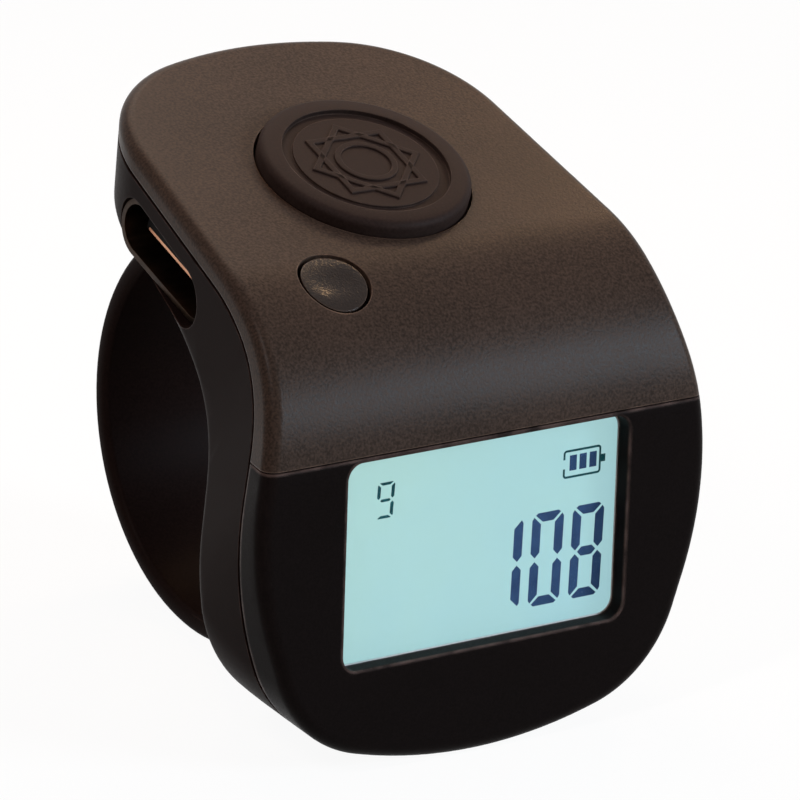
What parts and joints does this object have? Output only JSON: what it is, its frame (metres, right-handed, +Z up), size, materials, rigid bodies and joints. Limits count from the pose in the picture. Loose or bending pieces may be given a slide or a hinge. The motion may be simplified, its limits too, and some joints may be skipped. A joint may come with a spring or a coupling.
{
  "type": "digital finger tally counter",
  "caption": "Bent ring-worn tally counter for prayers: a finger ring carries a body with a round count button, a small reset button, a backlit display and a charging socket.",
  "frame": {"origin": "centre of the finger hole, midway along it", "axes": "+X along the finger hole, -Y towards the reader of the display, +Z up as it stands on its ring and its lower front edge"},
  "size_m": [0.028, 0.0301, 0.0302],
  "materials": {
    "housing_brown": "fine spark texture, warm dark brown",
    "front_black": "smooth satin, near black",
    "button_soft": "soft matte, dark brown",
    "reset_satin": "satin with fine texture",
    "clear_plate": "clear",
    "lcd_glass": "backlit pale blue-green",
    "light_guide": "milky clear",
    "lamp_white": "moulded white",
    "strip_rubber": "layered contact rubber",
    "holder_white": "plain white",
    "board_green": "solder mask",
    "screw_steel": "plated",
    "socket_steel": "drawn and plated",
    "switch_black": "plain black",
    "stem_white": "plain white",
    "tongue_black": "plain black",
    "contact_gold": "gold flash",
    "cell_foil": "pouch foil",
    "tape_foam": "foam",
    "lead_nickel": "nickel strip",
    "ribbon_amber": "amber film",
    "chip_black": "moulded epoxy",
    "crystal_steel": "drawn can",
    "part_ceramic": "ceramic"
  },
  "bodies": {
    "housing": {"top_cover": "housing_brown", "front_cover": "front_black", "rear_shell": "housing_brown", "display_window": "clear_plate", "lcd_panel": "lcd_glass", "display_board": "board_green", "backlight_guide": "light_guide", "backlight_leds": "lamp_white", "contact_strip": "strip_rubber", "display_holder": "holder_white", "main_board": "board_green", "board_screws": "screw_steel", "count_switch": "switch_black", "reset_switch": "switch_black", "usb_shell": "socket_steel", "usb_tongue": "tongue_black", "usb_contacts": "contact_gold", "battery_cell": "cell_foil", "battery_tape": "tape_foam", "battery_leads": "lead_nickel", "ribbon_cable": "ribbon_amber", "controller_chip": "chip_black", "charger_chip": "chip_black", "clock_crystal": "crystal_steel", "chip_parts": "part_ceramic"},
    "count_button": {"count_button": "button_soft"},
    "count_stem": {"count_stem": "stem_white"},
    "reset_button": {"reset_button": "reset_satin"},
    "reset_stem": {"reset_stem": "stem_white"}
  },
  "joints": [
    {"name": "count_press", "type": "slide", "parent": "housing", "child": "count_button", "axis": [0, 0.2835, -0.959], "range_m": [0, 0.00035], "stiffness_N_per_m": 1500},
    {"name": "count_stem_press", "type": "slide", "parent": "housing", "child": "count_stem", "axis": [0, 0.2835, -0.959], "range_m": [0, 0.00035]},
    {"name": "reset_press", "type": "slide", "parent": "housing", "child": "reset_button", "axis": [0, 0.2835, -0.959], "range_m": [0, 0.00025], "stiffness_N_per_m": 1500},
    {"name": "reset_stem_press", "type": "slide", "parent": "housing", "child": "reset_stem", "axis": [0, 0.2835, -0.959], "range_m": [0, 0.00025]}
  ],
  "couplings": [
    {"joint": "count_stem_press", "follows": "count_press", "ratio": 1},
    {"joint": "reset_stem_press", "follows": "reset_press", "ratio": 1}
  ]
}
